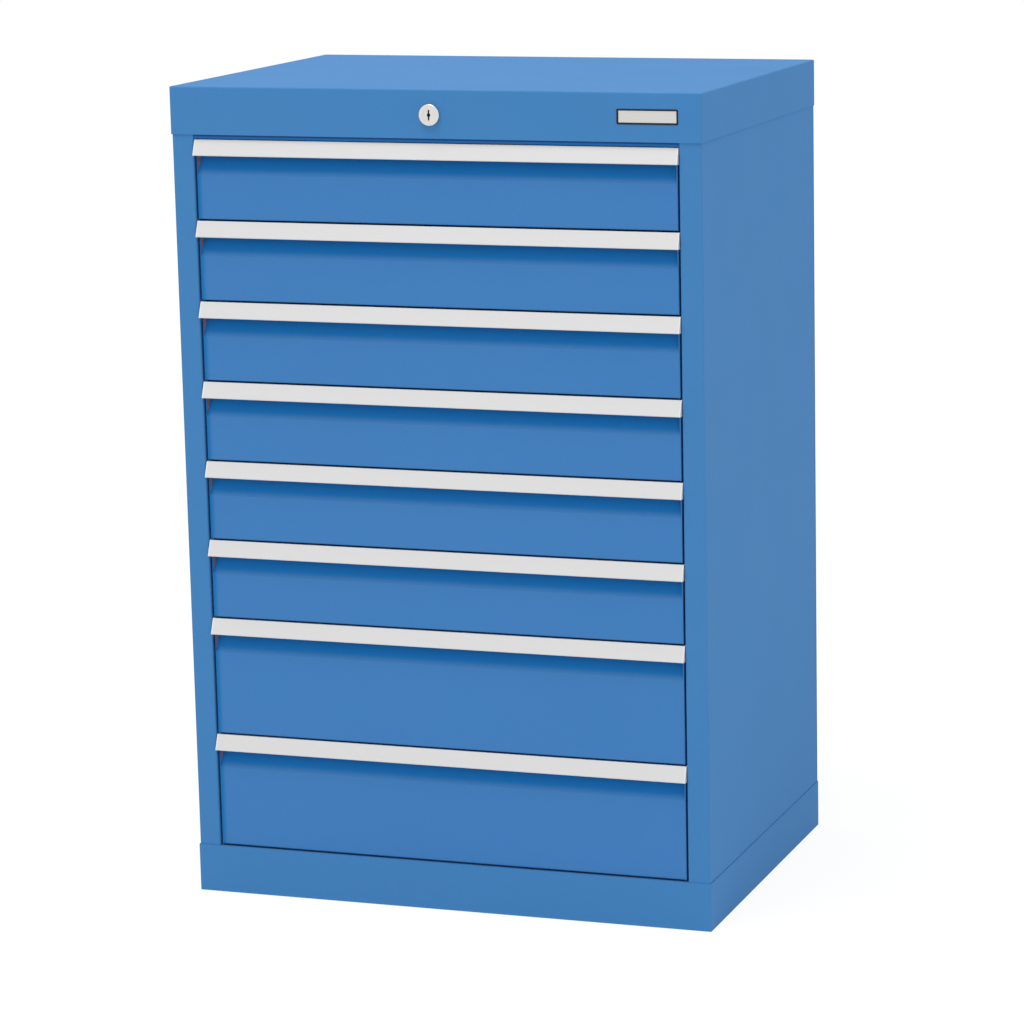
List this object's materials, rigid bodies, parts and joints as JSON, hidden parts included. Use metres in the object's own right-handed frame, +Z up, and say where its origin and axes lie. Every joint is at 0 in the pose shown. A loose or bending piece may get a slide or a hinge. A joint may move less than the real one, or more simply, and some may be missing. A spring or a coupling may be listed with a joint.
{
  "type": "drawer cabinet",
  "caption": "Steel workshop drawer cabinet: full-width pull-out drawers of two heights with light handle strips, hood and plinth, locked together by one cylinder lock.",
  "frame": {"origin": "on the floor under the middle of the whole cabinet, handle strips included", "axes": "+Z up, +X to the right of someone facing the drawers, -Y towards them"},
  "size_m": [0.68, 0.4984, 1.02],
  "materials": {
    "housing_paint": "fine-textured powder coat, mid blue, satin",
    "front_paint": "smooth powder coat, mid blue, satin",
    "tray_paint": "powder coat, light grey",
    "strip_aluminium": "matt anodised extrusion",
    "cap_plastic": "moulded, light grey",
    "zinc_steel": "bright zinc plated",
    "nickel": "satin nickel plated",
    "plate_aluminium": "brushed, bare"
  },
  "bodies": {
    "cabinet": {"top_hood": "housing_paint", "left_side_panel": "housing_paint", "right_side_panel": "housing_paint", "back_panel": "housing_paint", "base_plinth": "housing_paint", "cabinet_rails": "zinc_steel", "lock_housing": "nickel", "lock_nut": "zinc_steel", "name_plate": "plate_aluminium"},
    "lock_cylinder": {"lock_plug": "nickel", "lock_rod": "zinc_steel"},
    "lock_bar": {"lock_bar": "zinc_steel"},
    "drawer_1": {"drawer_1_front": "front_paint", "drawer_1_handle": "strip_aluminium", "drawer_1_end_caps": "cap_plastic", "drawer_1_tray": "tray_paint", "drawer_1_rails": "zinc_steel"},
    "drawer_1_middle_rails": {"drawer_1_middle_rails": "zinc_steel"},
    "drawer_2": {"drawer_2_front": "front_paint", "drawer_2_handle": "strip_aluminium", "drawer_2_end_caps": "cap_plastic", "drawer_2_tray": "tray_paint", "drawer_2_rails": "zinc_steel"},
    "drawer_2_middle_rails": {"drawer_2_middle_rails": "zinc_steel"},
    "drawer_3": {"drawer_3_front": "front_paint", "drawer_3_handle": "strip_aluminium", "drawer_3_end_caps": "cap_plastic", "drawer_3_tray": "tray_paint", "drawer_3_rails": "zinc_steel"},
    "drawer_3_middle_rails": {"drawer_3_middle_rails": "zinc_steel"},
    "drawer_4": {"drawer_4_front": "front_paint", "drawer_4_handle": "strip_aluminium", "drawer_4_end_caps": "cap_plastic", "drawer_4_tray": "tray_paint", "drawer_4_rails": "zinc_steel"},
    "drawer_4_middle_rails": {"drawer_4_middle_rails": "zinc_steel"},
    "drawer_5": {"drawer_5_front": "front_paint", "drawer_5_handle": "strip_aluminium", "drawer_5_end_caps": "cap_plastic", "drawer_5_tray": "tray_paint", "drawer_5_rails": "zinc_steel"},
    "drawer_5_middle_rails": {"drawer_5_middle_rails": "zinc_steel"},
    "drawer_6": {"drawer_6_front": "front_paint", "drawer_6_handle": "strip_aluminium", "drawer_6_end_caps": "cap_plastic", "drawer_6_tray": "tray_paint", "drawer_6_rails": "zinc_steel"},
    "drawer_6_middle_rails": {"drawer_6_middle_rails": "zinc_steel"},
    "drawer_7": {"drawer_7_front": "front_paint", "drawer_7_handle": "strip_aluminium", "drawer_7_end_caps": "cap_plastic", "drawer_7_tray": "tray_paint", "drawer_7_rails": "zinc_steel"},
    "drawer_7_middle_rails": {"drawer_7_middle_rails": "zinc_steel"},
    "drawer_8": {"drawer_8_front": "front_paint", "drawer_8_handle": "strip_aluminium", "drawer_8_end_caps": "cap_plastic", "drawer_8_tray": "tray_paint", "drawer_8_rails": "zinc_steel"},
    "drawer_8_middle_rails": {"drawer_8_middle_rails": "zinc_steel"}
  },
  "joints": [
    {"name": "lock_turn", "type": "hinge", "parent": "cabinet", "child": "lock_cylinder", "pos_m": [0, -0.24479, 0.99], "axis": [0, -1, 0], "range_deg": [0, 90]},
    {"name": "lock_bar_lift", "type": "slide", "parent": "cabinet", "child": "lock_bar", "axis": [0, 0, 1], "range_m": [0, 0.01202]},
    {"name": "drawer_1_slide", "type": "slide", "parent": "cabinet", "child": "drawer_1", "axis": [0, -1, 0], "range_m": [0, 0.4]},
    {"name": "middle_rails_1_slide", "type": "slide", "parent": "cabinet", "child": "drawer_1_middle_rails", "axis": [0, -1, 0], "range_m": [0, 0.2]},
    {"name": "drawer_2_slide", "type": "slide", "parent": "cabinet", "child": "drawer_2", "axis": [0, -1, 0], "range_m": [0, 0.4]},
    {"name": "middle_rails_2_slide", "type": "slide", "parent": "cabinet", "child": "drawer_2_middle_rails", "axis": [0, -1, 0], "range_m": [0, 0.2]},
    {"name": "drawer_3_slide", "type": "slide", "parent": "cabinet", "child": "drawer_3", "axis": [0, -1, 0], "range_m": [0, 0.4]},
    {"name": "middle_rails_3_slide", "type": "slide", "parent": "cabinet", "child": "drawer_3_middle_rails", "axis": [0, -1, 0], "range_m": [0, 0.2]},
    {"name": "drawer_4_slide", "type": "slide", "parent": "cabinet", "child": "drawer_4", "axis": [0, -1, 0], "range_m": [0, 0.4]},
    {"name": "middle_rails_4_slide", "type": "slide", "parent": "cabinet", "child": "drawer_4_middle_rails", "axis": [0, -1, 0], "range_m": [0, 0.2]},
    {"name": "drawer_5_slide", "type": "slide", "parent": "cabinet", "child": "drawer_5", "axis": [0, -1, 0], "range_m": [0, 0.4]},
    {"name": "middle_rails_5_slide", "type": "slide", "parent": "cabinet", "child": "drawer_5_middle_rails", "axis": [0, -1, 0], "range_m": [0, 0.2]},
    {"name": "drawer_6_slide", "type": "slide", "parent": "cabinet", "child": "drawer_6", "axis": [0, -1, 0], "range_m": [0, 0.4]},
    {"name": "middle_rails_6_slide", "type": "slide", "parent": "cabinet", "child": "drawer_6_middle_rails", "axis": [0, -1, 0], "range_m": [0, 0.2]},
    {"name": "drawer_7_slide", "type": "slide", "parent": "cabinet", "child": "drawer_7", "axis": [0, -1, 0], "range_m": [0, 0.4]},
    {"name": "middle_rails_7_slide", "type": "slide", "parent": "cabinet", "child": "drawer_7_middle_rails", "axis": [0, -1, 0], "range_m": [0, 0.2]},
    {"name": "drawer_8_slide", "type": "slide", "parent": "cabinet", "child": "drawer_8", "axis": [0, -1, 0], "range_m": [0, 0.4]},
    {"name": "middle_rails_8_slide", "type": "slide", "parent": "cabinet", "child": "drawer_8_middle_rails", "axis": [0, -1, 0], "range_m": [0, 0.2]}
  ],
  "couplings": [
    {"joint": "lock_turn", "follows": "lock_bar_lift", "rad_per_m": 130.67},
    {"joint": "middle_rails_1_slide", "follows": "drawer_1_slide", "ratio": 0.5},
    {"joint": "middle_rails_2_slide", "follows": "drawer_2_slide", "ratio": 0.5},
    {"joint": "middle_rails_3_slide", "follows": "drawer_3_slide", "ratio": 0.5},
    {"joint": "middle_rails_4_slide", "follows": "drawer_4_slide", "ratio": 0.5},
    {"joint": "middle_rails_5_slide", "follows": "drawer_5_slide", "ratio": 0.5},
    {"joint": "middle_rails_6_slide", "follows": "drawer_6_slide", "ratio": 0.5},
    {"joint": "middle_rails_7_slide", "follows": "drawer_7_slide", "ratio": 0.5},
    {"joint": "middle_rails_8_slide", "follows": "drawer_8_slide", "ratio": 0.5}
  ]
}
